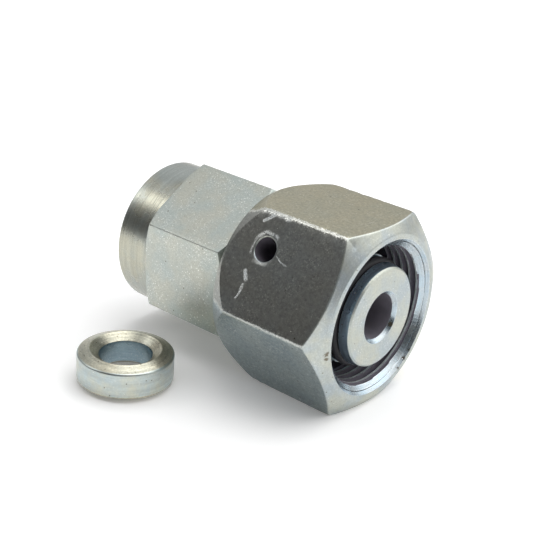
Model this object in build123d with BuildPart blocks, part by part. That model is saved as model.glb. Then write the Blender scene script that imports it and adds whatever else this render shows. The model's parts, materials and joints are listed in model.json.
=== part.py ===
from build123d import *
from math import asin, degrees, radians, tan
import os

os.makedirs("parts", exist_ok=True)

# Pressure gauge adapter with a swivel nut, lying on one flat of its nut.
# Millimetres. X runs along the fitting, out of the cone end, with the origin at
# the middle of the nose. Z is up, and Y is level and square to the fitting.

# Gauge port, an inside parallel pipe thread G1/2, whose wall is at its major diameter
port_thread_d = 20.955
port_relief_d = 21.6      # run-out groove behind the thread
port_relief_w = 3.0
port_depth = 20.0         # mouth to the seat of the gauge seal
port_mouth_d = 21.8       # 90 degree countersink at the mouth
port_seat_d = 15.2        # flat seat, with a cone from it to the bore
boss_d = 26.5             # turned boss round the mouth
boss_l = 7.8
boss_chamfer = 0.45

# Body: hexagon, neck that carries the nut, 24 degree cone nose
body_af = 27.0
body_hex_l = 17.8
body_hex_face_d = 28.4    # circle that the corner chamfers leave on the end faces
corner_chamfer = 30.0     # degrees from the end face
body_turn = 2.1           # degrees of a corner from straight up, towards -Y
neck_d = 22.0
neck_root = 0.6           # radius where the neck meets the hexagon
cone_half_angle = 12.0
cone_big_d = 20.4
nose_d = 17.4
nose_edge = 0.25
flow_d = 8.0
flow_countersink = 0.65

# Swivel nut, hexagon 32, inside thread M26x1.5, whose wall is at its major diameter
nut_af = 32.0
nut_l = 23.8
nut_face_d = 29.2         # circle left on the front face by the corner chamfer
nut_rear_d = 31.3         # circle where the steep rear taper starts
nut_rear_taper = 30.0     # degrees from the axis
nut_thread_d = 26.2
nut_mouth_d = 27.4        # 90 degree countersink at the mouth
nut_relief_d = 26.8
nut_relief_w = 2.3        # at the floor of the run-out groove
nut_thread_l = 9.0        # front face to the end of the thread
nut_rear_bevel = 0.6      # bevel of the neck bore at the rear face
nose_setback = 0.3        # nose behind the front face of the nut
swivel_gap = 0.06         # radial running clearance of the nut on the neck
shoulder_gap = 0.4        # nut to the hexagon behind it

# Retaining wire, half in the neck and half in the nut
wire_d = 3.0
wire_seat_gap = 0.03      # wire to its groove in the neck
wire_nut_gap = 0.15       # wire to its groove in the nut
wire_from_front = 15.9
wire_slot_angle = 24.0    # half of the open part of the wire
hole_d = 4.1              # hole that the wire was fed through
hole_offset = 2.9
hole_side = 60.0          # degrees of the drilled flat from the top, towards -Y
hole_edge = 0.2

# O-ring 15 x 2 in the cone
oring_inner_d = 15.2
oring_section_d = 2.0
oring_gap = 0.02
oring_groove_w = 2.5
oring_from_nose = 1.95    # nose to the front edge of the groove

# Loose gauge seal, a turned ring with a sealing edge on both faces
seal_d = 16.6
seal_edge_d = 12.4        # circle of the sealing edges
seal_bore_d = 9.2
seal_side_h = 4.5         # height of the outer wall
seal_bevel_h = 0.85       # sealing edge above the outer wall
seal_cone_h = 1.15        # sealing edge down to the bore
seal_round = 0.2
seal_x = 16.0             # its middle from the mouth of the port, along the fitting
seal_y = -25.7            # and beside it

# Places along the axis, from the mouth of the gauge port to the nose
mouth_x = -(boss_l + body_hex_l + shoulder_gap + nut_l - nose_setback)
hex_start = mouth_x + boss_l
hex_end = hex_start + body_hex_l
nut_rear = hex_end + shoulder_gap
nut_front = nut_rear + nut_l
nose_x = nut_front - nose_setback
cone_slope = tan(radians(cone_half_angle))
cone_back_x = nose_x - (cone_big_d - nose_d) / 2 / cone_slope
neck_front_x = cone_back_x - (neck_d - cone_big_d) / 2
wire_x = nut_front - wire_from_front
groove_front = nose_x - oring_from_nose
groove_rear = groove_front - oring_groove_w
nut_bore_r = neck_d / 2 + swivel_gap
wire_ring_r = neck_d / 2 + swivel_gap / 2
floor_z = -nut_af / 2


def cone_r(x):
    return nose_d / 2 + (nose_x - x) * cone_slope


def corner_trim(x, face_d, af, rise):
    """Half outline of a hexagon's end: its face, then a slope past the corners.

    rise is how far the slope runs along the axis for each millimetre of radius.
    """
    past_corner = af * 0.6    # a corner lies at af / sqrt(3), which is 0.577 af
    return (x, 0), (x, face_d / 2), (x + (past_corner - face_d / 2) * rise, past_corner)


corner_rise = tan(radians(corner_chamfer))

# Body
with BuildPart() as adapter_body:
    with BuildSketch(Plane.YZ.offset(hex_start)):
        RegularPolygon(body_af / 2, 6, major_radius=False, rotation=30 + body_turn)
    extrude(amount=body_hex_l)
    with BuildSketch(Plane.XZ):
        with BuildLine():
            Polyline(
                *corner_trim(hex_start, body_hex_face_d, body_af, corner_rise),
                *reversed(corner_trim(hex_end, body_hex_face_d, body_af, -corner_rise)),
                close=True,
            )
        make_face()
    revolve(axis=Axis.X, mode=Mode.INTERSECT)
    # boss, neck and cone turned in one outline
    with BuildSketch(Plane.XZ):
        with BuildLine():
            Polyline(
                (mouth_x, 0),
                (mouth_x, boss_d / 2 - boss_chamfer),
                (mouth_x + boss_chamfer, boss_d / 2),
                (hex_start, boss_d / 2),
                (hex_start, neck_d / 2),
                (hex_end, neck_d / 2),
                (hex_end, neck_d / 2 + neck_root),
                (hex_end + neck_root, neck_d / 2),
                (neck_front_x, neck_d / 2),
                (cone_back_x, cone_big_d / 2),
                (groove_rear, cone_r(groove_rear)),
                (groove_rear, oring_inner_d / 2),
                (groove_front, oring_inner_d / 2),
                (groove_front, cone_r(groove_front)),
                (nose_x - nose_edge, cone_r(nose_x - nose_edge)),
                (nose_x, nose_d / 2 - nose_edge),
                (nose_x, 0),
                close=True,
            )
        make_face()
    revolve(axis=Axis.X)
    # groove of the retaining wire
    with BuildSketch(Plane.XZ):
        with Locations((wire_x, wire_ring_r)):
            Circle(wire_d / 2 + wire_seat_gap)
    revolve(axis=Axis.X, mode=Mode.SUBTRACT)
    # gauge port, flow bore and its countersink at the nose
    port_r = port_thread_d / 2
    relief_r = port_relief_d / 2
    relief_step = relief_r - port_r
    mouth_r = port_mouth_d / 2
    seat_x = mouth_x + port_depth
    seat_cone = (port_seat_d - flow_d) / 2 * tan(radians(30))
    with BuildSketch(Plane.XZ):
        with BuildLine():
            Polyline(
                (mouth_x, 0),
                (mouth_x, mouth_r),
                (mouth_x + mouth_r - port_r, port_r),
                (seat_x - port_relief_w - relief_step, port_r),
                (seat_x - port_relief_w, relief_r),
                (seat_x, relief_r),
                (seat_x, port_seat_d / 2),
                (seat_x + seat_cone, flow_d / 2),
                (nose_x - flow_countersink, flow_d / 2),
                (nose_x, flow_d / 2 + flow_countersink),
                (nose_x, 0),
                close=True,
            )
        make_face()
    revolve(axis=Axis.X, mode=Mode.SUBTRACT)

# Swivel nut
with BuildPart() as swivel_nut:
    with BuildSketch(Plane.YZ.offset(nut_rear)):
        RegularPolygon(nut_af / 2, 6, major_radius=False)
    extrude(amount=nut_l)
    with BuildSketch(Plane.XZ):
        with BuildLine():
            Polyline(
                *corner_trim(nut_rear, nut_rear_d, nut_af, 1 / tan(radians(nut_rear_taper))),
                *reversed(corner_trim(nut_front, nut_face_d, nut_af, -corner_rise)),
                close=True,
            )
        make_face()
    revolve(axis=Axis.X, mode=Mode.INTERSECT)
    thread_r = nut_thread_d / 2
    thread_end = nut_front - nut_thread_l
    relief_rise = nut_relief_d / 2 - thread_r
    relief_end = thread_end - relief_rise - nut_relief_w
    with BuildSketch(Plane.XZ):
        with BuildLine():
            Polyline(
                (nut_rear, 0),
                (nut_rear, nut_bore_r + nut_rear_bevel),
                (nut_rear + nut_rear_bevel, nut_bore_r),
                (relief_end, nut_bore_r),
                (relief_end, nut_relief_d / 2),
                (thread_end - relief_rise, nut_relief_d / 2),
                (thread_end, thread_r),
                (nut_front - (nut_mouth_d / 2 - thread_r), thread_r),
                (nut_front, nut_mouth_d / 2),
                (nut_front, 0),
                close=True,
            )
        make_face()
    revolve(axis=Axis.X, mode=Mode.SUBTRACT)
    # wire groove, and the hole drilled into it through one flat
    with BuildSketch(Plane.XZ):
        with Locations((wire_x, wire_ring_r)):
            Circle(wire_d / 2 + wire_nut_gap)
    revolve(axis=Axis.X, mode=Mode.SUBTRACT)
    flat_normal = Vector(0, 0, 1).rotate(Axis.X, hole_side)
    flat_across = flat_normal.cross(Vector(1, 0, 0))
    hole_centre = flat_normal * (nut_af / 2) + flat_across * hole_offset + Vector(wire_x, 0, 0)
    hole_plane = Plane(origin=hole_centre, x_dir=(1, 0, 0), z_dir=flat_normal)
    with BuildSketch(hole_plane):
        Circle(hole_d / 2)
    extrude(amount=-(nut_af / 2 - wire_ring_r), mode=Mode.SUBTRACT)
    with BuildSketch(hole_plane):
        Circle(hole_d / 2 + hole_edge)
    extrude(amount=-hole_edge, taper=45, mode=Mode.SUBTRACT)

# Retaining wire, open under the hole
wire_start = hole_side - degrees(asin(hole_offset / wire_ring_r)) + wire_slot_angle
wire_plane = Plane((0, 0, 0), x_dir=(1, 0, 0), z_dir=Vector(0, -1, 0).rotate(Axis.X, wire_start))
with BuildPart() as retaining_wire:
    with BuildSketch(wire_plane):
        with Locations((wire_x, wire_ring_r)):
            Circle(wire_d / 2)
    revolve(axis=Axis.X, revolution_arc=360 - 2 * wire_slot_angle)

# O-ring
with BuildPart() as o_ring:
    with BuildSketch(Plane.XZ):
        with Locations(((groove_front + groove_rear) / 2, oring_inner_d / 2 + oring_gap + oring_section_d / 2)):
            Circle(oring_section_d / 2)
    revolve(axis=Axis.X)

# Loose gauge seal, lying on the surface that carries the nut
seal_r = seal_d / 2
seal_top = 2 * seal_bevel_h + seal_side_h
seal_foot = Vector(mouth_x + seal_x, seal_y, floor_z)
with BuildPart() as gauge_seal:
    with BuildSketch(Plane(seal_foot, x_dir=(1, 0, 0), z_dir=(0, -1, 0))) as seal_section:
        with BuildLine():
            Polyline(
                (seal_bore_d / 2, seal_cone_h),
                (seal_edge_d / 2, 0),
                (seal_r, seal_bevel_h),
                (seal_r, seal_bevel_h + seal_side_h),
                (seal_edge_d / 2, seal_top),
                (seal_bore_d / 2, seal_top - seal_cone_h),
                close=True,
            )
        make_face()
        rims = seal_section.vertices().group_by(Axis.X)[-1]
        fillet(rims, radius=seal_round)
    revolve(axis=Axis(seal_foot, (0, 0, 1)))

adapter_body.part.label = "adapter_body"
swivel_nut.part.label = "swivel_nut"
retaining_wire.part.label = "retaining_wire"
o_ring.part.label = "o_ring"
gauge_seal.part.label = "gauge_seal"

export_step(adapter_body.part, "parts/adapter_body.step")
export_step(swivel_nut.part, "parts/swivel_nut.step")
export_step(retaining_wire.part, "parts/retaining_wire.step")
export_step(o_ring.part, "parts/o_ring.step")
export_step(gauge_seal.part, "parts/gauge_seal.step")
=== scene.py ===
import json
from math import acos, atan2, cos, degrees, hypot, pi, radians, sin, tan

import bpy
import numpy as np
from mathutils import Matrix, Vector, noise


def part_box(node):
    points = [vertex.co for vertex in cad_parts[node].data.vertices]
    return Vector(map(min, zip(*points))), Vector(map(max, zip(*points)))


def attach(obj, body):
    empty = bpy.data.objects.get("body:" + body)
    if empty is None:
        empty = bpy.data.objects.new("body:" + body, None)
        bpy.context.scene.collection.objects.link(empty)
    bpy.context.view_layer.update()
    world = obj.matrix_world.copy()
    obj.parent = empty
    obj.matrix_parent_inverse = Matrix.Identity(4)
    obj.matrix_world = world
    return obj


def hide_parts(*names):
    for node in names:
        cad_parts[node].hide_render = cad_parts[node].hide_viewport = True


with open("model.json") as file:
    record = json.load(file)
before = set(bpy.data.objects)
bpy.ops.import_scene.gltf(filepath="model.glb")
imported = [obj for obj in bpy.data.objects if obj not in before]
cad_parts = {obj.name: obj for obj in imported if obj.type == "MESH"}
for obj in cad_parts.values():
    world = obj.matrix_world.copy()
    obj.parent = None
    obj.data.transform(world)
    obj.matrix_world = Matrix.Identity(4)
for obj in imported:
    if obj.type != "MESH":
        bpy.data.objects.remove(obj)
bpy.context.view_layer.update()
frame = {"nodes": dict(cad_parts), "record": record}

print("frame loaded:", ", ".join(sorted(frame["nodes"])))

mm = 0.001          # one millimetre in the scene's metres
nodes = frame["nodes"]
mounts = {mount["name"]: mount for mount in frame["record"]["mounts"]}


def boxMm(node):
    # lowest and highest corner of a CAD node in millimetres
    low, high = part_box(node)
    return [value / mm for value in low], [value / mm for value in high]


# Camera, matched to the photograph, in millimetres and degrees
view = {
    "aim": (-23.468, -2.026, 1.810),
    "distance": 208.817,
    "azimuth": 51.051,       # from the cone end's axis towards the nut's dark flat
    "elevation": 23.666,
    "roll": 4.451,
    "lens": 80.686,
    "sensor": 36.0,
}


def makeCamera():
    side, lift, roll = (radians(view[key]) for key in ("azimuth", "elevation", "roll"))
    back = Vector((cos(lift) * cos(side), -cos(lift) * sin(side), sin(lift)))
    level = Vector((0, 0, 1)).cross(back).normalized()
    upright = back.cross(level)
    right = level * cos(roll) + upright * sin(roll)
    up = back.cross(right)
    place = (Vector(view["aim"]) + back * view["distance"]) * mm
    camera = bpy.data.objects.new("camera", bpy.data.cameras.new("camera"))
    camera.data.lens = view["lens"]
    camera.data.sensor_width = view["sensor"]
    camera.data.clip_start = 0.01
    camera.matrix_world = Matrix.Translation(place) @ Matrix((right, up, back)).transposed().to_4x4()
    bpy.context.scene.collection.objects.link(camera)
    bpy.context.scene.camera = camera


makeCamera()
print("camera placed")


# Nodes and materials
def toLinear(colour):
    # "#rrggbb" as linear red, green, blue and alpha
    parts = [int(colour[i:i + 2], 16) / 255 for i in (1, 3, 5)]
    return [v / 12.92 if v <= 0.04045 else ((v + 0.055) / 1.055) ** 2.4 for v in parts] + [1.0]


def addNode(tree, kind, settings=None, values=None):
    # adds a node, sets its properties, and sets or links its inputs by name or number; the kind
    # is a shader node's when it doesn't say, settings may be the name of an operation, and a
    # node as a value is its first output in use
    node = tree.nodes.new(kind if "Node" in kind else "ShaderNode" + kind)
    if isinstance(settings, str):
        settings = {"operation": settings}
    for key, value in (settings or {}).items():
        setattr(node, key, value)
    for key, value in (values or {}).items():
        if isinstance(value, bpy.types.Node):
            value = next(output for output in value.outputs if output.enabled)
        if isinstance(value, bpy.types.NodeSocket):
            tree.links.new(value, node.inputs[key])
        else:
            node.inputs[key].default_value = value
    return node


def newMaterial(name):
    material = bpy.data.materials.new(name)
    material.use_nodes = True
    material.node_tree.nodes.clear()
    return material, material.node_tree


def finishMaterial(tree, values):
    shader = addNode(tree, "BsdfPrincipled", None, values)
    addNode(tree, "OutputMaterial", None, {"Surface": shader})


faceStretch = 1.37      # tool lines along the radius; not 1, so that 45 degree bevels have them too


def zincFinish(name, look):
    # zinc-plated steel, built up from the layers that the look names
    material, tree = newMaterial(name)
    coords = addNode(tree, "TexCoord")
    geometry = addNode(tree, "NewGeometry")
    place = addNode(tree, "Mapping", {"vector_type": "TEXTURE"},
                    {"Vector": coords.outputs["Object"], "Location": look.get("centre", (0, 0, 0)),
                     "Rotation": look.get("turn", (0, 0, 0)), "Scale": (mm, mm, mm)})
    apart = addNode(tree, "SeparateXYZ", None, {0: place})
    outward = addNode(tree, "CombineXYZ", None, {1: apart.outputs[1], 2: apart.outputs[2]})
    radius = addNode(tree, "VectorMath", "LENGTH", {0: outward})
    minusY = addNode(tree, "Math", "MULTIPLY", {0: apart.outputs[1], 1: -1.0})
    angle = addNode(tree, "Math", "ARCTAN2", {0: minusY, 1: apart.outputs[2]})

    # noises by the size of what they draw
    noises = [addNode(tree, "TexNoise", None,
                      {"Vector": place, "Scale": 1 / look[size], "Detail": detail, "Roughness": roughness})
              for size, detail, roughness in (("patchSize", 3.0, 0.6), ("grainSize", 3.0, 0.65),
                                              ("fleckSize", 1.0, 0.6), ("clusterSize", 3.0, 0.6),
                                              ("edgeNick", 3.0, 0.7))]
    patches, grains, specks, clusters, ragged = noises

    # two tints of the passivation in slow patches, times a tint for each flat of the hexagon that is
    # partly passivation and partly painted shade
    patch = addNode(tree, "MapRange", None, {"Value": patches, "From Min": 0.38, "From Max": 0.62})
    light, dark = (toLinear(tint) for tint in look["tints"])
    colour = addNode(tree, "Mix", {"data_type": "RGBA"}, {"Factor": patch, 6: light, 7: dark})
    if "flatTintsAndShade" in look:
        ramp = addFlatRamp(tree, angle, look["flatTintsAndShade"], look["firstCorner"])
        colour = addNode(tree, "Mix", {"data_type": "RGBA", "blend_type": "MULTIPLY"},
                         {"Factor": 1.0, 6: colour, 7: ramp})

    # grains, and lines that the lathe tool left, in step with the place along the outline
    shades = [(grains, look["grainShade"])]
    height = addNode(tree, "Math", "MULTIPLY", {0: grains, 1: look["grainDepth"]})
    if look.get("toolShade"):
        feed = addNode(tree, "Math", "MULTIPLY_ADD", {0: radius, 1: faceStretch, 2: apart})
        feed = addNode(tree, "Math", "DIVIDE", {0: feed, 1: look["toolPitch"]})
        track = addNode(tree, "CombineXYZ", None, {0: feed, 1: angle})
        lines = addNode(tree, "TexNoise", {"noise_dimensions": "2D"},
                        {"Vector": track, "Scale": 1.0, "Detail": 2.0, "Roughness": 0.7})
        shades.append((lines, look["toolShade"]))
        height = addNode(tree, "Math", "MULTIPLY_ADD", {0: lines, 1: look["toolDepth"], 2: height})
    for pattern, strength in shades:
        shade = addNode(tree, "MapRange", None, {"Value": pattern, "From Min": 0.3, "From Max": 0.7,
                                                 "To Min": 1 - strength, "To Max": 1 + strength})
        colour = addNode(tree, "VectorMath", "SCALE", {0: colour, "Scale": shade})

    # light flecks in clusters
    speck = addNode(tree, "MapRange", None,
                    {"Value": specks, "From Min": 0.56, "From Max": 0.68, "To Max": look["fleckShare"]})
    cluster = addNode(tree, "MapRange", None,
                      {"Value": clusters, "From Min": 0.40, "From Max": 0.62, "To Min": 0.15})
    fleck = addNode(tree, "Math", "MULTIPLY", {0: speck, 1: cluster})

    # dark pits
    size = look["pitSize"] / look["pitSpacing"]
    pits = addNode(tree, "TexVoronoi", None, {"Vector": place, "Scale": 1 / look["pitSpacing"]})
    pit = addNode(tree, "MapRange", None, {"Value": pits, "From Min": size, "From Max": 0.4 * size})
    for share, tint in ((fleck, look["edgeTint"]), (pit, look["pitTint"])):
        colour = addNode(tree, "Mix", {"data_type": "RGBA"},
                         {"Factor": share, 6: colour, 7: toLinear(tint)})

    if "cornerWearAndHighlight" in look:
        colour = addCornerWearAndHighlight(tree, look, angle, radius, specks, colour)
    for spot, size, tint in look.get("stains", ()):
        colour = addStain(tree, place, Vector(spot), size, toLinear(tint), colour)

    # rubbed edges, found where a rounded normal leaves the true one; their bright colour is partly wear
    # and partly a painted highlight
    rounded = addNode(tree, "Bevel", {"samples": 6}, {"Radius": look["edgeWidth"] * mm})
    cosine = addNode(tree, "VectorMath", "DOT_PRODUCT", {0: rounded, 1: geometry.outputs["Normal"]})
    limit = addNode(tree, "MapRange", None,
                    {"Value": ragged, "From Min": 0.35, "From Max": 0.65, "To Min": 0.93, "To Max": 1.0})
    nearer = addNode(tree, "Math", "SUBTRACT", {0: limit, 1: cosine})
    edge = addNode(tree, "MapRange", None,
                   {"Value": nearer, "From Max": 0.03, "To Max": look["edgeShare"]})
    colour = addNode(tree, "Mix", {"data_type": "RGBA"},
                     {"Factor": edge, 6: colour, 7: toLinear(look["edgeTint"])})
    height = addNode(tree, "Math", "MULTIPLY_ADD", {0: edge, 1: look["grainDepth"], 2: height})
    bump = addNode(tree, "Bump", None, {"Strength": 1.0, "Distance": mm, "Height": height})

    # bright grains painted in as glints, whose faces are also tipped at random, so that some of them flash
    size = look["glintSize"] / look["glintSpacing"]
    cells = addNode(tree, "TexVoronoi", None, {"Vector": place, "Scale": 1 / look["glintSpacing"]})
    chosen = addNode(tree, "SeparateXYZ", None, {0: cells.outputs["Color"]})
    near = addNode(tree, "MapRange", None, {"Value": cells, "From Min": size, "From Max": 0.5 * size})
    most = addNode(tree, "Math", "MULTIPLY", {0: cluster, 1: look["glintShare"]})
    few = addNode(tree, "Math", "LESS_THAN", {0: chosen, 1: most})
    paintedGlint = addNode(tree, "Math", "MULTIPLY", {0: near, 1: few})
    tipped = addNode(tree, "VectorMath", "SUBTRACT", {0: cells.outputs["Color"], 1: (0.5, 0.5, 0.2)})
    if "marks" in look:
        scuff, colour = addMarks(tree, place, look, colour)
        up = addNode(tree, "VectorTransform", {"vector_type": "NORMAL", "convert_from": "OBJECT",
                                               "convert_to": "WORLD"}, {0: look["markTip"]})
        lean = addNode(tree, "VectorMath", "SCALE", {0: up, "Scale": scuff})
        bump = addNode(tree, "VectorMath", "ADD", {0: bump, 1: lean})
    colour = addNode(tree, "Mix", {"data_type": "RGBA"},
                     {"Factor": paintedGlint, 6: colour, 7: toLinear(look["edgeTint"])})
    push = addNode(tree, "VectorMath", "SCALE", {0: tipped, "Scale": paintedGlint})
    normal = addNode(tree, "VectorMath", "MULTIPLY_ADD", {0: push, 1: (look["glintTip"],) * 3, 2: bump})
    normal = addNode(tree, "VectorMath", "NORMALIZE", {0: normal})
    rough = addNode(tree, "MapRange", None,
                    {"Value": patches, "From Min": 0.3, "From Max": 0.7,
                     "To Min": look["roughness"][0], "To Max": look["roughness"][1]})
    finishMaterial(tree, {"Base Color": colour, "Metallic": 1.0, "Roughness": rough, "Normal": normal})
    return material


def addFlatRamp(tree, angle, tints, firstCorner):
    # a tint for each flat by the angle round the axis, blended over a little at the corners;
    # the ramp runs from -180 to 180 degrees, with a stop at each side of every corner
    blend = 1.2
    share = addNode(tree, "MapRange", None, {"Value": angle, "From Min": -pi, "From Max": pi})
    node = addNode(tree, "ValToRGB", None, {0: share})
    stops = []
    for k in range(7):
        corner = firstCorner - 240 + 60 * k
        stops.append((corner - blend, tints[(k - 1) % 6]))
        stops.append((corner + blend, tints[k % 6]))
    stops = [((degree + 180) / 360, tint) for degree, tint in stops if -180 <= degree <= 180]
    elements = node.color_ramp.elements
    while len(elements) < len(stops):
        elements.new(1.0)
    for element, (position, tint) in zip(elements, stops):
        element.position = position
        element.color = toLinear(tint)
    return node


def addCornerWearAndHighlight(tree, look, angle, radius, specks, colour):
    # corners of the hexagon rubbed bright in a ragged band, each by its own amount: partly wear and partly
    # a painted highlight
    width, corner, shares = look["cornerWearAndHighlight"]
    turned = addNode(tree, "Math", "SUBTRACT", {0: angle, 1: radians(corner)})
    away = addNode(tree, "Math", "PINGPONG", {0: turned, 1: radians(30)})
    gap = addNode(tree, "Math", "MULTIPLY", {0: away, 1: radius})
    wide = addNode(tree, "MapRange", {"clamp": False},
                   {"Value": specks, "From Min": 0.35, "From Max": 0.65,
                    "To Min": 0.2 * width, "To Max": 1.5 * width})
    inside = addNode(tree, "Math", "SUBTRACT", {0: wide, 1: gap})
    band = addNode(tree, "MapRange", None, {"Value": inside, "From Max": 0.25 * width})
    ramp = addFlatRamp(tree, angle, shares, corner - 30)
    factor = addNode(tree, "Math", "MULTIPLY", {0: band, 1: ramp})
    return addNode(tree, "Mix", {"data_type": "RGBA"},
                   {"Factor": factor, 6: colour, 7: toLinear(look["edgeTint"])})


def addStain(tree, place, spot, size, tint, colour):
    # one ragged spot of a tint, its place and radius in millimetres
    gap = addNode(tree, "VectorMath", "DISTANCE", {0: place, 1: spot})
    ragged = addNode(tree, "TexNoise", None,
                     {"Vector": place, "Scale": 2.0, "Detail": 4.0, "Roughness": 0.7})
    reach = addNode(tree, "MapRange", {"clamp": False},
                    {"Value": ragged, "From Min": 0.3, "From Max": 0.7,
                     "To Min": 0.4 * size, "To Max": 1.6 * size})
    left = addNode(tree, "Math", "SUBTRACT", {0: reach, 1: gap})
    factor = addNode(tree, "MapRange", None, {"Value": left, "From Max": 0.25, "To Max": 0.9})
    return addNode(tree, "Mix", {"data_type": "RGBA"}, {"Factor": factor, 6: colour, 7: tint})


def addMarks(tree, place, look, colour):
    # scratches on one flat, each a short line in millimetres along the axis and across the flat
    side = radians(look["markFlat"])
    across = addNode(tree, "VectorMath", "DOT_PRODUCT", {0: place, 1: (0, cos(side), sin(side))})
    outward = addNode(tree, "VectorMath", "DOT_PRODUCT", {0: place, 1: (0, -sin(side), cos(side))})
    along = addNode(tree, "SeparateXYZ", None, {0: place})
    here = addNode(tree, "CombineXYZ", None, {0: along, 1: across})
    wobble = addNode(tree, "TexNoise", None, {"Vector": place, "Scale": 2.2, "Detail": 3.0})
    shake = addNode(tree, "VectorMath", "SUBTRACT", {0: wobble.outputs["Color"], 1: (0.5, 0.5, 0.5)})
    here = addNode(tree, "VectorMath", "MULTIPLY_ADD", {0: shake, 1: (0.45, 0.45, 0.0), 2: here})
    total = 0.0
    for start, end, width, strength in look["marks"]:
        run = Vector(end) - Vector(start)
        fromStart = addNode(tree, "VectorMath", "SUBTRACT", {0: here, 1: (*start, 0)})
        part = addNode(tree, "VectorMath", "DOT_PRODUCT", {0: fromStart, 1: (*run, 0)})
        part = addNode(tree, "Math", {"operation": "DIVIDE", "use_clamp": True},
                       {0: part, 1: run.length_squared})
        nearest = addNode(tree, "VectorMath", "SCALE", {0: (*run, 0), "Scale": part})
        off = addNode(tree, "VectorMath", "DISTANCE", {0: fromStart, 1: nearest})
        line = addNode(tree, "MapRange", None,
                       {"Value": off, "From Min": width, "From Max": width * 0.3, "To Max": strength})
        total = addNode(tree, "Math", "MAXIMUM", {0: line, 1: total})
    onFlat = addNode(tree, "Math", "GREATER_THAN", {0: outward, 1: look["markDepth"]})
    total = addNode(tree, "Math", "MULTIPLY", {0: total, 1: onFlat})
    broken = addNode(tree, "TexNoise", None, {"Vector": place, "Scale": 6.5, "Detail": 3.0})
    broken = addNode(tree, "MapRange", None, {"Value": broken, "From Min": 0.36, "From Max": 0.64})
    total = addNode(tree, "Math", "MULTIPLY", {0: total, 1: broken})
    colour = addNode(tree, "Mix", {"data_type": "RGBA"},
                     {"Factor": total, 6: colour, 7: toLinear(look["markTint"])})
    return total, colour


# What all turned and plated surfaces share. Sizes, pitches and depths are in millimetres, and
# shares and shades are parts of one. Grains and tool lines are drawn coarser than the real
# ones, which would be too fine to show.
turned = {
    "patchSize": 6.0,
    "toolPitch": 0.5,
    "toolShade": 0.04,
    "toolDepth": 0.004,
    "grainSize": 0.35,
    "grainShade": 0.06,
    "grainDepth": 0.006,
    "fleckSize": 0.22,
    "fleckShare": 0.25,
    "clusterSize": 4.0,
    "pitSpacing": 2.2,
    "pitSize": 0.15,
    "pitTint": "#6b6558",
    "edgeWidth": 0.2,
    "edgeNick": 0.5,
    "edgeShare": 0.45,
    "edgeTint": "#eceee8",
    "glintSpacing": 0.6,
    "glintSize": 0.10,
    "glintShare": 0.25,
    "glintTip": 0.4,
}

# Drawn hexagon bar under zinc: dull and yellowed, each flat a little different, two of them darker as
# painted shade, with scuffs, pits, and corners rubbed bright, the corners partly as a painted highlight
drawnBar = zincFinish("drawnBarZinc", {
    "tints": ("#b5b2a4", "#a9a99f"),
    "patchSize": 7.0,
    # the two darker bluish tints, on the flat with the feed hole and the flat below it, are painted shade;
    # the others are passivation
    "flatTintsAndShade": ("#f4f4f0", "#fffcec", "#f4f4f0", "#fffcee", "#dfe3ee", "#d2e4f7"),
    "firstCorner": 30.0,
    # corner bands, partly rubbed wear and partly a painted highlight, strongest on the two corners of the
    # flat with the feed hole
    "cornerWearAndHighlight": (0.42, 30.0, ("#606060", "#606060", "#606060", "#606060", "#f8f8f8", "#a0a0a0")),
    "grainSize": 0.5,
    "grainShade": 0.22,
    "grainDepth": 0.014,
    "fleckSize": 0.28,
    "fleckShare": 0.42,
    "clusterSize": 2.6,
    "pitSpacing": 2.6,
    "pitSize": 0.18,
    "pitTint": "#5c574c",
    "edgeWidth": 0.4,
    "edgeNick": 0.5,
    "edgeShare": 0.7,
    "edgeTint": "#e8e9e2",
    "glintSpacing": 0.5,
    "glintSize": 0.09,
    "glintShare": 0.10,
    "glintTip": 0.35,
    "roughness": (0.30, 0.38),
    "markFlat": 60.0,           # angle of the marked flat, and how far out it starts
    "markDepth": 15.7,
    "markTip": (0.0, 0.1, 0.25),
    "markTint": "#a9b0b4",
    "marks": (
        # start and end along the axis and across the flat, half width, strength
        ((-17.66, -1.58), (-16.95, -2.75), 0.5, 0.8),
        ((-17.1, -3.7), (-17.05, -4.9), 0.40, 0.45),
        ((-17.05, -4.9), (-17.4, -6.3), 0.26, 0.60),
        ((-12.9, 2.5), (-11.8, 1.8), 0.16, 0.4),
        ((-11.8, 1.8), (-10.6, 1.6), 0.16, 0.35),
        ((-18.0, 7.2), (-16.4, 8.7), 0.35, 0.8),
        ((-17.7, 4.6), (-16.6, 5.5), 0.60, 0.35),
        ((-16.6, 5.5), (-14.4, 5.3), 0.65, 0.40),
        ((-18.0, 4.4), (-18.2, 1.6), 0.40, 0.25),
        ((-18.6, 9.2), (-13.5, 9.0), 0.75, 0.45),
    ),
})

# Dirt at the rim of the nut's mouth
rimStains = (
    ((0.2, 6.9, -11.9), 0.42, "#4a4236"),
    ((0.1, 8.5, -10.6), 0.50, "#4a4236"),
    ((0.2, 9.8, -9.4), 0.38, "#4a4236"),
)

# Faces and chamfers turned on the lathe before plating: lighter and cleaner than the bar
turnedFace = zincFinish("turnedFaceZinc", {
    **turned,
    "tints": ("#bbbeb4", "#afb8bb"),
    "grainShade": 0.10,
    "fleckShare": 0.35,
    "roughness": (0.34, 0.42),
    "stains": (
        # dirt on the front face, and a brown facet at the mouth of the bore
        *rimStains,
        ((0.2, -14.6, -1.6), 0.55, "#6d6454"),
        ((0.2, -14.5, -2.6), 0.45, "#6d6454"),
        ((0.2, -11.4, 8.6), 0.22, "#3c382f"),
        ((0.2, 8.1, 11.6), 0.20, "#3c382f"),
        ((0.3, 12.0, -4.4), 0.22, "#3c382f"),
        ((0.0, -0.1, -7.0), 0.14, "#4a4236"),
    ),
})

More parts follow.
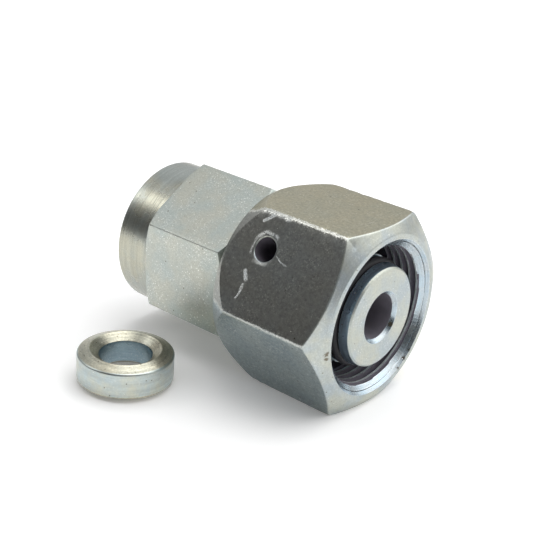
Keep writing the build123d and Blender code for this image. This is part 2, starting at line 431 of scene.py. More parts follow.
# The countersinks and other fine cuts kept their bluish passivation and shine more
mouthCut = zincFinish("mouthCutZinc", {
    **turned,
    "tints": ("#acbcc6", "#b5bdc1"),
    "patchSize": 4.0,
    "toolPitch": 0.4,
    "toolShade": 0.16,
    "toolDepth": 0.008,
    "edgeShare": 0.6,
    "edgeTint": "#f2f6f6",
    "roughness": (0.22, 0.30),
    "stains": (*rimStains, ((-0.3, 3.7, -2.6), 0.55, "#8a7f66")),
})

# The body's hexagon was blasted before plating: an even matt grain full of fine sparkle, partly painted as
# bright grains
blastedHexagon = zincFinish("blastedHexagonZinc", {
    **turned,
    "tints": ("#b9bbb1", "#b2bab6"),
    "toolShade": 0.0,
    "grainSize": 0.26,
    "grainShade": 0.14,
    "grainDepth": 0.012,
    "fleckShare": 0.45,
    "pitSize": 0.17,
    "edgeWidth": 0.15,
    "edgeShare": 0.1,
    "edgeTint": "#f4f6f2",
    "glintSpacing": 0.42,
    "glintSize": 0.11,
    "glintShare": 0.55,
    "roughness": (0.34, 0.42),
})

# Turned boss: fine tool lines that break a highlight into streaks
turnedBoss = zincFinish("turnedBossZinc", {
    **turned,
    "tints": ("#b2b1a2", "#a9b0ad"),
    "patchSize": 8.0,
    "toolPitch": 0.42,
    "toolShade": 0.10,
    "toolDepth": 0.034,
    "edgeWidth": 0.15,
    "roughness": (0.24, 0.32),
})

# The cone is turned smoother and looks blue-grey, with a rim that was knocked rough
turnedCone = zincFinish("turnedConeZinc", {
    **turned,
    "tints": ("#9fb0bc", "#94a6b1"),
    "patchSize": 3.0,
    "toolPitch": 0.3,
    "toolShade": 0.20,
    "toolDepth": 0.014,
    "edgeWidth": 0.22,
    "edgeNick": 0.35,
    # bright edges, partly a painted highlight, as on the front edge of the ring groove
    "edgeShare": 0.8,
    "edgeTint": "#e8e4d4",
    "roughness": (0.26, 0.32),
})

# The loose ring lies flat, so the patterns are turned to stand round its upright axis
sealLow, sealHigh = boxMm("gauge_seal")
sealCentre = ((sealLow[0] + sealHigh[0]) / 2, (sealLow[1] + sealHigh[1]) / 2)
sealPlace = {"centre": (sealCentre[0] * mm, sealCentre[1] * mm, sealLow[2] * mm), "turn": (0, -pi / 2, 0)}
# It was turned coarser, which left tan tool marks on its bevels
ringBevel = zincFinish("ringBevelZinc", {
    **turned,
    **sealPlace,
    "tints": ("#bdbaa8", "#b0b1a4"),
    "toolPitch": 0.5,
    "toolShade": 0.22,
    "toolDepth": 0.03,
    "grainShade": 0.22,
    "grainDepth": 0.014,
    "pitSpacing": 0.9,
    "pitSize": 0.16,
    "edgeShare": 0.75,
    "edgeTint": "#f6f4e6",
    "roughness": (0.28, 0.36),
})
# Its side shows long faint streaks, bluish where light grazes it
ringSide = zincFinish("ringSideZinc", {
    **turned,
    **sealPlace,
    "tints": ("#c4c6b9", "#b6c2c3"),
    "patchSize": 3.5,
    "toolPitch": 0.7,
    "toolShade": 0.10,
    "toolDepth": 0.010,
    "roughness": (0.28, 0.36),
})
# Its bore is smooth and blue, its darker tint partly painted shade inside the ring
ringBoreBlueAndShade = zincFinish("ringBoreZincBlueAndPaintedShade", {
    **turned,
    **sealPlace,
    "tints": ("#93a6ae", "#889ba4"),
    "toolShade": 0.10,
    "roughness": (0.25, 0.32),
})


def plainFinish(name, tint, roughness, metallic, patchSize, patchShade):
    # one tint with slow patches of shade and roughness
    material, tree = newMaterial(name)
    coords = addNode(tree, "TexCoord")
    patches = addNode(tree, "TexNoise", None,
                      {"Vector": coords.outputs["Object"], "Scale": 1 / (patchSize * mm), "Detail": 4.0})
    shade = addNode(tree, "MapRange", None,
                    {"Value": patches, "From Min": 0.3, "From Max": 0.7,
                     "To Min": 1 - patchShade, "To Max": 1 + patchShade})
    colour = addNode(tree, "VectorMath", "SCALE", {0: toLinear(tint)[:3], "Scale": shade})
    rough = addNode(tree, "Math", "MULTIPLY", {0: shade, 1: roughness})
    finishMaterial(tree, {"Base Color": colour, "Metallic": metallic, "Roughness": rough})
    return material


# Bores and thread flanks: dull and dark, partly from a film of oil and phosphate and partly as painted
# shade in these recesses
oilAndShadeBore = plainFinish("oilAndPaintedShadeBoreSteel", "#77737c", 0.7, 0.0, 1.0, 0.08)
oilAndShadeThread = plainFinish("oilAndPaintedShadeThreadSteel", "#6f6a75", 0.7, 0.0, 0.8, 0.10)
# The feed hole is a little darker still, as painted shade deep in the hole
feedHoleShade = plainFinish("feedHolePaintedShadeSteel", "#67626b", 0.8, 0.0, 1.0, 0.05)
# Crests of the cut thread: a bright colour that paints the thin highlight lines they catch
crestHighlightPaint = plainFinish("crestPaintedHighlightSteel", "#e4eaea", 0.45, 0.35, 0.6, 0.15)
# Drawn spring wire, grey under oil
springWire = plainFinish("oiledSpringWire", "#66656a", 0.45, 0.8, 0.7, 0.1)
# Nitrile rubber, black with a soft satin sheen
nitrile = plainFinish("blackNitrile", "#2a292d", 0.6, 0.0, 0.5, 0.1)
print("materials made")


# Pieces that are lofted round the X axis from outlines
def hexColumns(acrossFlats, turn, edgeRound, perFlat, perCorner):
    # Angles from the top towards the camera side, and the hexagon's radius at each.
    # Columns crowd towards the rounded corners, so the nicks there have points to move.
    crowding = 0.8
    inner = acrossFlats / 2
    reach = edgeRound * tan(radians(30))
    half = inner * tan(radians(30)) - reach
    columns = []
    for k in range(6):
        flat = turn + 60 * k
        steps = np.linspace(-1, 1, perFlat + 1)
        for step in np.sign(steps) * np.abs(steps) ** crowding:
            columns.append((flat + degrees(atan2(step * half, inner)), hypot(inner, step * half)))
        corner = flat + 30
        centre = (inner - edgeRound) / cos(radians(30))
        for step in range(1, perCorner):
            bend = radians(-30 + 60 * step / perCorner)
            across, out = edgeRound * sin(bend), centre + edgeRound * cos(bend)
            columns.append((corner + degrees(atan2(across, out)), hypot(across, out)))
    return columns


def roundColumns(count, radius):
    return [(360 * k / count, radius) for k in range(count)]


def roundOutline(corners, arcSteps=4):
    # Each corner is x, r, rounding, rows to the next corner, zone. Gives points x, r, zone.
    points = []
    count = len(corners)
    for k, (x, r, rounding, rows, zone) in enumerate(corners):
        before = np.array(corners[k - 1][:2]) - (x, r)
        after = np.array(corners[(k + 1) % count][:2]) - (x, r)
        lengthBefore, lengthAfter = np.linalg.norm(before), np.linalg.norm(after)
        u, v = before / max(lengthBefore, 1e-9), after / max(lengthAfter, 1e-9)
        opening = acos(max(-1, min(1, float(u @ v))))
        here = np.array((x, r))
        if rounding > 0 and opening < pi - 0.02:
            reach = min(rounding / tan(opening / 2), 0.45 * lengthBefore, 0.45 * lengthAfter)
            start, end = here + u * reach, here + v * reach
            for step in range(arcSteps + 1):
                t = step / arcSteps
                points.append((*((1 - t) ** 2 * start + 2 * t * (1 - t) * here + t * t * end), zone))
        elif rounding > 0:
            points.extend([(x, r, zone)] * (arcSteps + 1))
        else:
            points.append((x, r, zone))
        points[-1] = (*points[-1], rows)
    # rows along the straight spans, which start at the points that carry a count of rows
    full = []
    for k, point in enumerate(points):
        full.append(point[:3])
        rows = point[3] if len(point) > 3 else 1
        nextPoint = points[(k + 1) % len(points)]
        for row in range(1, rows):
            t = row / rows
            full.append((point[0] + (nextPoint[0] - point[0]) * t,
                         point[1] + (nextPoint[1] - point[1]) * t, point[2]))
    return full


def linkMesh(name, vertices, faces, zones, materials):
    mesh = bpy.data.meshes.new(name)
    mesh.from_pydata(vertices, [], faces)
    for material in materials:
        mesh.materials.append(material)
    mesh.polygons.foreach_set("material_index", zones)
    mesh.polygons.foreach_set("use_smooth", [True] * len(faces))
    mesh.update()
    piece = bpy.data.objects.new(name, mesh)
    bpy.context.scene.collection.objects.link(piece)
    return piece


def loftPiece(name, columns, outlineAt, materials, shift=None):
    # One closed skin: an outline for each column, joined all the way round
    rings = [roundOutline(outlineAt(radius)) for _, radius in columns]
    count, rows = len(columns), len(rings[0])
    vertices = []
    for (angle, _), ring in zip(columns, rings):
        side, top = -sin(radians(angle)), cos(radians(angle))
        for x, r, _ in ring:
            point = Vector((x, r * side, r * top))
            vertices.append((point + shift(point) if shift else point) * mm)
    faces, zones = [], []
    for c in range(count):
        d = (c + 1) % count
        for k in range(rows):
            n = (k + 1) % rows
            faces.append((c * rows + k, c * rows + n, d * rows + n, d * rows + k))
            zones.append(rings[0][k][2])
    return linkMesh(name, vertices, faces, zones, materials)


def settle(piece):
    # turns the modifiers' result into the piece's own plain mesh
    graph = bpy.context.evaluated_depsgraph_get()
    graph.update()
    mesh = bpy.data.meshes.new_from_object(piece.evaluated_get(graph), preserve_all_data_layers=True,
                                           depsgraph=graph)
    old = piece.data
    piece.modifiers.clear()
    piece.data = mesh
    bpy.data.meshes.remove(old)
    print(f"  {piece.name}: {len(mesh.polygons)} faces")
    return piece


# Swivel nut, in millimetres and degrees
low, high = boxMm("swivel_nut")
nut = {
    "rear": low[0],
    "front": high[0],
    "acrossFlats": high[2] * 2,
    "edgeRound": 0.7,
    "rearFace": 31.3 / 2,
    "rearTaper": 30.0,
    "frontFace": 29.2 / 2,
    "frontTaper": 30.0,
    "mouth": 27.4 / 2,
    "thread": 26.2 / 2,
    "threadLength": 9.0,
    "relief": 26.8 / 2,
    "reliefWidth": 2.3,
    "bore": 11.06,
    "boreBevel": 0.6,
    "wireRing": 11.03,       # radius of the wire's middle line, and of its groove's section
    "wireGroove": 1.65,
    "wirePlace": 15.9,       # from the front face
    "holeSide": 60.0,        # angle of the flat with the feed hole, and how far off its middle
    "holeOffset": 2.9,
    "hole": 4.1 / 2,
    "holeBevel": 0.2,
    "nick": 0.10,            # deepest nick along a corner, and how far from its line nicks reach
    "nickWidth": 1.2,
    "cornerFrom": 0.5,       # corners start this far outside the flats
    "cornerKnock": 1.3,      # reach and depth of the knock at each end of a corner
    "cornerDepth": 0.12,
}
nut["wireX"] = nut["front"] - nut["wirePlace"]


def grooveArc(centre, ringRadius, radius, level, outward, zone, steps=10):
    # corners of a round groove that opens at r = level, from its front edge to its rear edge
    start = acos((level - ringRadius) * outward / radius)
    return [(centre + radius * sin(start * (1 - 2 * k / steps)),
             ringRadius + outward * radius * cos(start * (1 - 2 * k / steps)), 0, 1, zone)
            for k in range(steps + 1)]


def taperRuns(radius):
    # how far the rear and the front taper run along the axis where the hexagon has this radius
    return ((radius - nut["rearFace"]) / tan(radians(nut["rearTaper"])),
            (radius - nut["frontFace"]) * tan(radians(nut["frontTaper"])))


def nutOutline(radius):
    # zones: 0 bar, 1 turned, 2 countersink, 3 bore
    n = nut
    rearRun, frontRun = taperRuns(radius)
    threadEnd = n["front"] - n["threadLength"]
    reliefStep = n["relief"] - n["thread"]
    reliefEnd = threadEnd - reliefStep - n["reliefWidth"]
    return [
        (n["rear"], n["bore"] + n["boreBevel"], 0.1, 6, 1),
        (n["rear"], n["rearFace"], 0.25, 8, 0),
        (n["rear"] + rearRun, radius, 0.3, 60, 0),
        (n["front"] - frontRun, radius, 0.3, 12, 1),
        (n["front"], n["frontFace"], 0.5, 3, 1),
        (n["front"], n["mouth"], 0.08, 3, 2),
        (n["front"] - (n["mouth"] - n["thread"]), n["thread"], 0, 6, 3),
        (threadEnd, n["thread"], 0, 1, 3),
        (threadEnd - reliefStep, n["relief"], 0, 2, 3),
        (reliefEnd, n["relief"], 0, 2, 3),
        (reliefEnd, n["bore"], 0.1, 3, 3),
        *grooveArc(n["wireX"], n["wireRing"], n["wireGroove"], n["bore"], 1, 3),
        (n["rear"] + n["boreBevel"], n["bore"], 0.05, 1, 3),
    ]


def nutWear(point):
    # small knocks along the corners, deepest on the corner line itself
    angle = degrees(atan2(-point.y, point.z))
    radius = hypot(point.y, point.z)
    off = abs((angle % 60) - 30)
    along = radians(off) * radius
    if along > nut["nickWidth"] or radius < nut["acrossFlats"] / 2 + nut["cornerFrom"]:
        return Vector()
    # slow and fine noise along each corner
    knock = noise.noise(Vector((point.x * 0.9, angle * 0.05, 3.0)))
    fine = noise.noise(Vector((point.x * 3.1, angle * 0.2, 7.0)))
    depth = nut["nick"] * max(0.0, knock * 1.2 + fine * 0.7) * (1 - along / nut["nickWidth"])
    # the ends of each corner are knocked round
    rearRun, frontRun = taperRuns(radius)
    for end in (nut["rear"] + rearRun, nut["front"] - frontRun):
        gap = hypot(point.x - end, along) / nut["cornerKnock"]
        if gap < 1:
            depth += nut["cornerDepth"] * (1 - gap) ** 2
    inward = Vector((0, -point.y, -point.z)).normalized()
    return inward * depth


def makeNut():
    columns = hexColumns(nut["acrossFlats"], 0, nut["edgeRound"], perFlat=18, perCorner=5)
    piece = loftPiece("swivel_nut_dressed", columns, nutOutline,
                      [drawnBar, turnedFace, mouthCut, oilAndShadeBore], nutWear)
    # a drill with a bevel cuts the hole that the wire was fed through, and lends it its materials
    side = radians(nut["holeSide"])
    outward = Vector((0, -sin(side), cos(side)))
    across = outward.cross(Vector((1, 0, 0)))
    foot = outward * (nut["acrossFlats"] / 2) + across * nut["holeOffset"] + Vector((nut["wireX"], 0, 0))
    steps, depthIn, heightOut = 40, 5.0, 1.0
    rings = ((-depthIn, nut["hole"]), (-nut["holeBevel"], nut["hole"]),
             (heightOut, nut["hole"] + nut["holeBevel"] + heightOut))
    vertices = []
    for depth, radius in rings:
        for k in range(steps):
            turn = 2 * pi * k / steps
            spoke = Vector((1, 0, 0)) * cos(turn) + across * sin(turn)
            vertices.append((foot + outward * depth + spoke * radius) * mm)
    faces = [tuple(reversed(range(steps))), tuple(range(2 * steps, 3 * steps))]
    for ring in range(2):
        for k in range(steps):
            n = (k + 1) % steps
            here, beyond = ring * steps, (ring + 1) * steps
            faces.append((here + k, here + n, beyond + n, beyond + k))
    zones = [0] * (steps + 2) + [1] * steps
    drill = linkMesh("drill", vertices, faces, zones, [feedHoleShade, turnedFace])
    cut = piece.modifiers.new("hole", "BOOLEAN")
    cut.operation = "DIFFERENCE"
    cut.solver = "EXACT"
    cut.material_mode = "TRANSFER"
    cut.object = drill
    piece.modifiers.new("normals", "WEIGHTED_NORMAL").keep_sharp = True
    settle(piece)
    bpy.data.objects.remove(drill)
    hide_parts("swivel_nut")
    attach(piece, "nut")


makeNut()
print("nut made")

# Body, in millimetres and degrees
low, high = boxMm("adapter_body")
port = mounts["gauge_port"]
adapter = {
    "mouth": low[0],
    "nose": high[0],
    "acrossFlats": 27.0,
    "turn": 32.1,            # of the hexagon round the axis
    "edgeRound": 0.3,
    "boss": 26.5 / 2,
    "bossLength": 7.8,
    "bossBevel": 0.45,
    "hexLength": 17.8,
    "hexFace": 28.4 / 2,
    "hexTaper": 30.0,
    "neck": 11.0,
    "neckRoot": 0.6,
    "coneHalfAngle": 12.0,
    "coneBig": 10.2,
    "noseFace": 17.4 / 2,
    "noseBevel": 0.25,
    "bore": 4.0,
    "boreBevel": 0.65,
    "portDepth": 20.0,
    "portThread": port["dims"]["r_mm"],
    "portRelief": 21.6 / 2,
    "portReliefWidth": 3.0,
    "portMouth": 21.8 / 2,
    "portSeat": 15.2 / 2,
    "ringGroove": 15.2 / 2,  # the O-ring's, as radius of its floor
    "ringGrooveFront": 1.95,
    "ringGrooveWidth": 2.5,
    "wireGroove": 1.53,
}


def coneRadius(x):
    return adapter["noseFace"] + (adapter["nose"] - x) * tan(radians(adapter["coneHalfAngle"]))


def bodyOutline(radius):
    # zones: 0 hexagon, 1 boss and port, 2 cone and neck, 3 nose, 4 bore, 5 bevel of the bore
    b = adapter
    hexStart = b["mouth"] + b["bossLength"]
    hexEnd = hexStart + b["hexLength"]
    slope = tan(radians(b["hexTaper"]))
    face = min(b["hexFace"], radius - 0.06)
    run = (radius - face) * slope
    coneBack = b["nose"] - (b["coneBig"] - b["noseFace"]) / tan(radians(b["coneHalfAngle"]))
    neckFront = coneBack - (b["neck"] - b["coneBig"])
    grooveFront = b["nose"] - b["ringGrooveFront"]
    grooveRear = grooveFront - b["ringGrooveWidth"]
    seat = b["mouth"] + b["portDepth"]
    reliefStep = b["portRelief"] - b["portThread"]
    seatCone = (b["portSeat"] - b["bore"]) * tan(radians(30))
    return [
        (b["mouth"], b["portMouth"], 0.05, 3, 1),
        (b["mouth"], b["boss"] - b["bossBevel"], 0.08, 1, 1),
        (b["mouth"] + b["bossBevel"], b["boss"], 0.1, 60, 1),
        (hexStart, b["boss"], 0.12, 2, 0),
        (hexStart, face, 0.12, 2, 0),
        (hexStart + run, radius, 0.12, 44, 0),
        (hexEnd - run, radius, 0.12, 2, 0),
        (hexEnd, face, 0.12, 3, 0),
        (hexEnd, b["neck"] + b["neckRoot"], 0.1, 1, 2),
        (hexEnd + b["neckRoot"], b["neck"], 0.1, 1, 2),
        *reversed(grooveArc(nut["wireX"], nut["wireRing"], b["wireGroove"], b["neck"], -1, 2)),
        (neckFront, b["neck"], 0.1, 2, 2),
        (coneBack, b["coneBig"], 0.1, 20, 2),
        (grooveRear, coneRadius(grooveRear), 0.05, 2, 2),
        (grooveRear, b["ringGroove"], 0, 2, 2),
        (grooveFront, b["ringGroove"], 0, 2, 2),
        (grooveFront, coneRadius(grooveFront), 0.08, 16, 2),
        (b["nose"] - b["noseBevel"], coneRadius(b["nose"] - b["noseBevel"]), 0.1, 1, 3),
        (b["nose"], b["noseFace"] - b["noseBevel"], 0.1, 10, 3),
        (b["nose"], b["bore"] + b["boreBevel"], 0.08, 2, 5),
        (b["nose"] - b["boreBevel"], b["bore"], 0.08, 12, 4),
        (seat + seatCone, b["bore"], 0.1, 4, 4),
        (seat, b["portSeat"], 0.1, 3, 1),
        (seat, b["portRelief"], 0, 2, 1),
        (seat - b["portReliefWidth"], b["portRelief"], 0, 1, 1),
        (seat - b["portReliefWidth"] - reliefStep, b["portThread"], 0, 8, 1),
        (b["mouth"] + b["portMouth"] - b["portThread"], b["portThread"], 0, 2, 1),
    ]


def makeBody():
    columns = hexColumns(adapter["acrossFlats"], adapter["turn"], adapter["edgeRound"],
                         perFlat=18, perCorner=4)
    piece = loftPiece("adapter_body_dressed", columns, bodyOutline,
                      [blastedHexagon, turnedBoss, turnedCone, turnedFace, oilAndShadeBore, mouthCut])
    piece.modifiers.new("normals", "WEIGHTED_NORMAL").keep_sharp = True
    settle(piece)
    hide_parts("adapter_body")
    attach(piece, "body")


makeBody()
print("body made")


# Inside threads, a grid that is bent into a helix, with distances in millimetres
helix = {
    "rowsPerPitch": 16,
    "flankStart": 1,         # rows from the middle of the root to the flank, and to the crest
    "flankEnd": 6,
    "closedTo": 0.6,         # the groove is closed to this depth, and fully open at the next
    "openFrom": 1.1,
    "backing": 0.05,         # how far the back of the skin runs outside the root
    "weld": 0.002,
    "crestRoom": 0.01,       # how near a face has to lie to count as crest or countersink
    "sinkRoom": 0.012,
}


def makeThreadTree():
    tree = bpy.data.node_groups.new("insideThread", "GeometryNodeTree")
    for kind, names in (("Float", ("Front", "Back", "Pitch", "Minor Radius", "Major Radius", "Hand")),
                        ("Int", ("Rows", "Columns")),
                        ("Material", ("Flanks", "Crests", "Countersink"))):
        for name in names:
            tree.interface.new_socket(name, in_out="INPUT", socket_type="NodeSocket" + kind)
    tree.interface.new_socket("Thread", in_out="OUTPUT", socket_type="NodeSocketGeometry")
    given = addNode(tree, "NodeGroupInput").outputs
    front, back, pitch, minor, major = (given[k] for k in range(5))
    grid = addNode(tree, "GeometryNodeMeshGrid", None,
                   {"Size X": 1.0, "Size Y": 1.0,
                    "Vertices X": given["Rows"], "Vertices Y": given["Columns"]})
    place = addNode(tree, "SeparateXYZ", None, {0: addNode(tree, "GeometryNodeInputPosition")})
    lastRow = addNode(tree, "Math", "SUBTRACT", {0: given["Rows"], 1: 1.0})
    down, turn = (addNode(tree, "Math", "ADD", {0: place.outputs[k], 1: 0.5}) for k in (0, 1))
    row = addNode(tree, "Math", "MULTIPLY", {0: down, 1: lastRow})
    row = addNode(tree, "Math", "ROUND", {0: row})
    # the rows slide along by a pitch in a turn
    phase = addNode(tree, "Math", "DIVIDE", {0: row, 1: helix["rowsPerPitch"]})
    slide = addNode(tree, "Math", "SUBTRACT", {0: turn, 1: phase})
    forward = addNode(tree, "Math", "MULTIPLY", {0: slide, 1: given["Hand"]})
    x = addNode(tree, "Math", "MULTIPLY_ADD", {0: forward, 1: pitch, 2: front})
    low, high = (addNode(tree, "Math", which, {0: front, 1: back}) for which in ("MINIMUM", "MAXIMUM"))
    x = addNode(tree, "Clamp", None, {0: x, 1: low, 2: high})
    # thread form: a flat root, flanks, and a flat crest
    wrapped = addNode(tree, "Math", "PINGPONG", {0: phase, 1: 0.5})
    form = addNode(tree, "MapRange", None,
                   {"Value": wrapped, "From Min": helix["flankStart"] / helix["rowsPerPitch"],
                    "From Max": helix["flankEnd"] / helix["rowsPerPitch"]})
    ends = (addNode(tree, "Math", "SUBTRACT", {0: x, 1: end}) for end in (back, front))
    fromBack, fromFront = (addNode(tree, "Math", "ABSOLUTE", {0: end}) for end in ends)
    fade = addNode(tree, "MapRange", None, {"Value": fromBack, "From Max": pitch})
    closed = addNode(tree, "MapRange", None,
                     {"Value": fromFront, "From Min": helix["closedTo"] * mm,
                      "From Max": helix["openFrom"] * mm, "To Min": 1.0, "To Max": 0.0})
    form = addNode(tree, "Math", "MAXIMUM", {0: form, 1: closed})
    height = addNode(tree, "Math", "MULTIPLY", {0: form, 1: fade})
    depth = addNode(tree, "Math", "SUBTRACT", {0: minor, 1: major})
    radius = addNode(tree, "Math", "MULTIPLY_ADD", {0: height, 1: depth, 2: major})
    # the 45 degree countersink of the mouth cuts the first thread
    sink = addNode(tree, "Math", "SUBTRACT", {0: major, 1: fromFront})
    radius = addNode(tree, "Math", "MAXIMUM", {0: radius, 1: sink})
    # the first and the last two rows run behind the thread, and close its back
    rim = addNode(tree, "Math", "SUBTRACT", {0: lastRow, 1: 1.5})
    isFirst = addNode(tree, "Math", "LESS_THAN", {0: row, 1: 0.5})
    isLate = addNode(tree, "Math", "GREATER_THAN", {0: row, 1: rim})
    lastHalf = addNode(tree, "Math", "SUBTRACT", {0: lastRow, 1: 0.5})
    isLast = addNode(tree, "Math", "GREATER_THAN", {0: row, 1: lastHalf})
    behind = addNode(tree, "Math", "MAXIMUM", {0: isFirst, 1: isLate})
    atFront = addNode(tree, "Math", "MAXIMUM", {0: isFirst, 1: isLast})
    hidden = addNode(tree, "Math", "ADD", {0: major, 1: helix["backing"] * mm})
    radius = addNode(tree, "Mix", None, {0: behind, 2: radius, 3: hidden})
    backX = addNode(tree, "Mix", None, {0: behind, 2: x, 3: back})
    x = addNode(tree, "Mix", None, {0: atFront, 2: backX, 3: front})
    angle = addNode(tree, "Math", "MULTIPLY", {0: turn, 1: 2 * pi})
    sine, cosine = (addNode(tree, "Math", which, {0: angle}) for which in ("SINE", "COSINE"))
    side = addNode(tree, "Math", "MULTIPLY", {0: sine, 1: radius})
    side = addNode(tree, "Math", "MULTIPLY", {0: side, 1: -1.0})
    top = addNode(tree, "Math", "MULTIPLY", {0: cosine, 1: radius})
    bent = addNode(tree, "CombineXYZ", None, {0: x, 1: side, 2: top})
    moved = addNode(tree, "GeometryNodeSetPosition", None, {"Geometry": grid, "Position": bent})
    welded = addNode(tree, "GeometryNodeMergeByDistance", None,
                     {"Geometry": moved, "Distance": helix["weld"] * mm})
    real = addNode(tree, "GeometryNodeRealizeInstances", None, {0: welded})
    made = addNode(tree, "GeometryNodeSetMaterial", None, {"Geometry": real, "Material": given["Flanks"]})
    # crests and the countersunk ends of the thread are told apart by where their faces came to lie
    now = addNode(tree, "GeometryNodeInputPosition")
    section = addNode(tree, "VectorMath", "MULTIPLY", {0: now, 1: (0, 1, 1)})
    reach = addNode(tree, "VectorMath", "LENGTH", {0: section})
    crestLimit = addNode(tree, "Math", "ADD", {0: minor, 1: helix["crestRoom"] * mm})
    isCrest = addNode(tree, "Math", "LESS_THAN", {0: reach, 1: crestLimit})
    made = addNode(tree, "GeometryNodeSetMaterial", None,
                   {"Geometry": made, "Selection": isCrest, "Material": given["Crests"]})
    along = addNode(tree, "SeparateXYZ", None, {0: now})
    inside = addNode(tree, "Math", "SUBTRACT", {0: along, 1: front})
    inside = addNode(tree, "Math", "ABSOLUTE", {0: inside})
    coneSum = addNode(tree, "Math", "ADD", {0: inside, 1: reach})
    isCone = addNode(tree, "Math", "COMPARE", {0: coneSum, 1: major, 2: helix["sinkRoom"] * mm})
    made = addNode(tree, "GeometryNodeSetMaterial", None,
                   {"Geometry": made, "Selection": isCone, "Material": given["Countersink"]})
    addNode(tree, "NodeGroupOutput", None, {0: made})
    return tree


def makeByTree(name, tree, settings):
    # an empty mesh whose tree makes the piece, with its inputs set by identifier
    piece = bpy.data.objects.new(name, bpy.data.meshes.new(name))
    bpy.context.scene.collection.objects.link(piece)
    modifier = piece.modifiers.new("tree", "NODES")
    modifier.node_group = tree
    sockets = {item.name: item.identifier for item in tree.interface.items_tree if item.in_out == "INPUT"}
    for key, value in settings.items():
        modifier[sockets[key]] = value
    return settle(piece)


threadLooks = {"Flanks": oilAndShadeThread, "Crests": crestHighlightPaint, "Countersink": mouthCut}
nutThread = {
    **threadLooks,
    "Front": (nut["front"] - (nut["mouth"] - nut["thread"])) * mm,
    "Back": (nut["front"] - nut["threadLength"]) * mm,
    "Pitch": 1.5 * mm,
    "Minor Radius": 24.376 / 2 * mm,
    "Major Radius": nut["thread"] * mm,
    "Hand": 1.0,
    "Rows": helix["rowsPerPitch"] * 7 + 3,
    "Columns": 129,
}
portStart = adapter["mouth"] + adapter["portMouth"] - adapter["portThread"]
portThread = {
    **threadLooks,
    "Front": portStart * mm,
    "Back": (portStart + port["dims"]["length_mm"]) * mm,
    "Pitch": 1.814 * mm,
    "Minor Radius": 18.631 / 2 * mm,
    "Major Radius": adapter["portThread"] * mm,
    "Hand": -1.0,
    "Rows": helix["rowsPerPitch"] * 10 + 3,
    "Columns": 97,
}
threadTree = makeThreadTree()
for name, settings, slotName, bodyName in (("nut_thread", nutThread, "nut_steel", "nut"),
                                           ("port_thread", portThread, "body_steel", "body")):
    thread = makeByTree(name, threadTree, settings)
    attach(thread, bodyName)
print("threads made")

# Loose gauge seal, turned, with its axis upright
seal = {
    "centre": sealCentre,
    "foot": sealLow[2],
    "outer": (sealHigh[0] - sealLow[0]) / 2,
    "edge": 12.4 / 2,        # radius of the sealing edges
    "bore": 9.2 / 2,
    "bevelHeight": 0.85,
    "coneHeight": 1.15,
    "height": sealHigh[2] - sealLow[2],
    "round": 0.45,
}


def sealOutline(_):
    # along the upright axis, zones: 0 bore, 1 bevels, 2 side
    s = seal
    return [
        (s["coneHeight"], s["bore"], 0.1, 10, 0),
        (s["height"] - s["coneHeight"], s["bore"], 0.1, 14, 1),
        (s["height"], s["edge"], 0.3, 24, 1),
        (s["height"] - s["bevelHeight"], s["outer"], s["round"], 30, 2),
        (s["bevelHeight"], s["outer"], s["round"], 24, 1),
        (0, s["edge"], 0.12, 14, 1),
    ]


def makeSeal():
    piece = loftPiece("gauge_seal_dressed", roundColumns(160, seal["outer"]), sealOutline,
                      [ringBoreBlueAndShade, ringBevel, ringSide])
    upright = Matrix(((0, 1, 0), (0, 0, 1), (1, 0, 0))).to_4x4()
    place = Vector((*seal["centre"], seal["foot"])) * mm
    piece.data.transform(Matrix.Translation(place) @ upright)
    piece.modifiers.new("normals", "WEIGHTED_NORMAL").keep_sharp = True
    settle(piece)
    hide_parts("gauge_seal")
    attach(piece, "body")


makeSeal()
print("gauge seal made")

for name, material in (("retaining_wire", springWire), ("o_ring", nitrile)):
    nodes[name].data.materials.clear()
    nodes[name].data.materials.append(material)


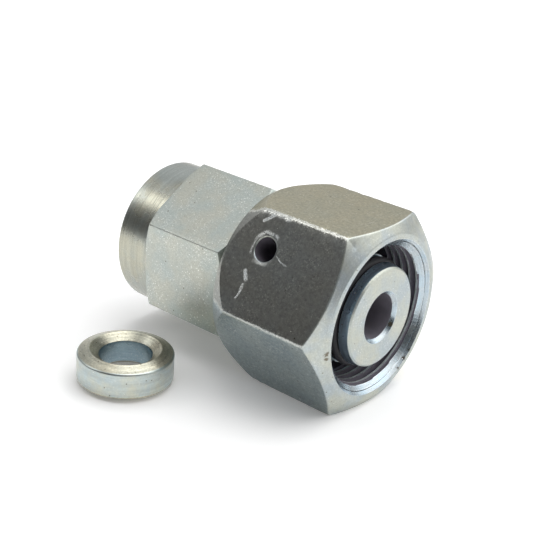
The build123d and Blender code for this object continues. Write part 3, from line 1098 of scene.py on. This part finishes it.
# Floor and surroundings
studio = {
    "floorRadius": 1.2,
    "floorTint": "#ffffff",
    "whiteShare": 0.14,
    # level of the surroundings where nothing lights them, and soft bright areas in them
    "surroundings": 0.10,
    "lobes": (
        # azimuth, elevation, radius of the full part and of the whole lobe, what it adds
        # large softbox behind the object, with what spills over from it
        (62, 54, 10, 60, 2.1),
        (150, 66, 10, 42, 0.3),
        (-51, 80, 5, 24, 0.9),
        # pale wall at the left, low
        (148, 8, 10, 38, 0.6),
        (-160, 46, 10, 34, 0.45),
        # small window that lights a band on the boss
        (-149, 46, 3, 13, 2.4),
    ),
}


def makeFloor():
    # white by its colour, and whiter for the rays of the camera and of reflections
    steps, reach = 96, studio["floorRadius"]
    level = boxMm("swivel_nut")[0][2] * mm
    vertices = [(reach * cos(2 * pi * k / steps), reach * sin(2 * pi * k / steps), level)
                for k in range(steps)]
    material, tree = newMaterial("paperFloor")
    rays = addNode(tree, "LightPath")
    seen = addNode(tree, "Math", "MAXIMUM",
                   {0: rays.outputs["Is Camera Ray"], 1: rays.outputs["Is Glossy Ray"]})
    seen = addNode(tree, "Math", "MAXIMUM", {0: seen, 1: rays.outputs["Is Transmission Ray"]})
    share = addNode(tree, "Math", "MULTIPLY", {0: seen, 1: studio["whiteShare"]})
    finishMaterial(tree, {"Base Color": toLinear(studio["floorTint"]), "Roughness": 1.0,
                          "Specular IOR Level": 0.0, "Emission Color": (1, 1, 1, 1),
                          "Emission Strength": share})
    floor = linkMesh("floor", vertices, [tuple(range(steps))], [0], [material])


def makeSurroundings():
    # smooth round lobes of light, added up by how near a direction is to the middle of each
    world = bpy.data.worlds.new("studio")
    world.use_nodes = True
    tree = world.node_tree
    tree.nodes.clear()
    direction = addNode(tree, "TexCoord").outputs["Generated"]
    level = studio["surroundings"]
    for azimuth, elevation, inner, outer, share in studio["lobes"]:
        side, lift = radians(azimuth), radians(elevation)
        axis = (cos(lift) * cos(side), cos(lift) * sin(side), sin(lift))
        nearness = addNode(tree, "VectorMath", "DOT_PRODUCT", {0: direction, 1: axis})
        part = addNode(tree, "MapRange", {"interpolation_type": "SMOOTHSTEP"},
                       {"Value": nearness, "From Min": cos(radians(outer)),
                        "From Max": cos(radians(inner)), "To Max": share})
        level = addNode(tree, "Math", "ADD", {0: part, 1: level})
    background = addNode(tree, "Background", None, {"Color": (1, 1, 1, 1), "Strength": level})
    addNode(tree, "OutputWorld", None, {"Surface": background})
    bpy.context.scene.world = world


makeFloor()
makeSurroundings()
bpy.context.scene.view_settings.view_transform = "Standard"
print("studio made")
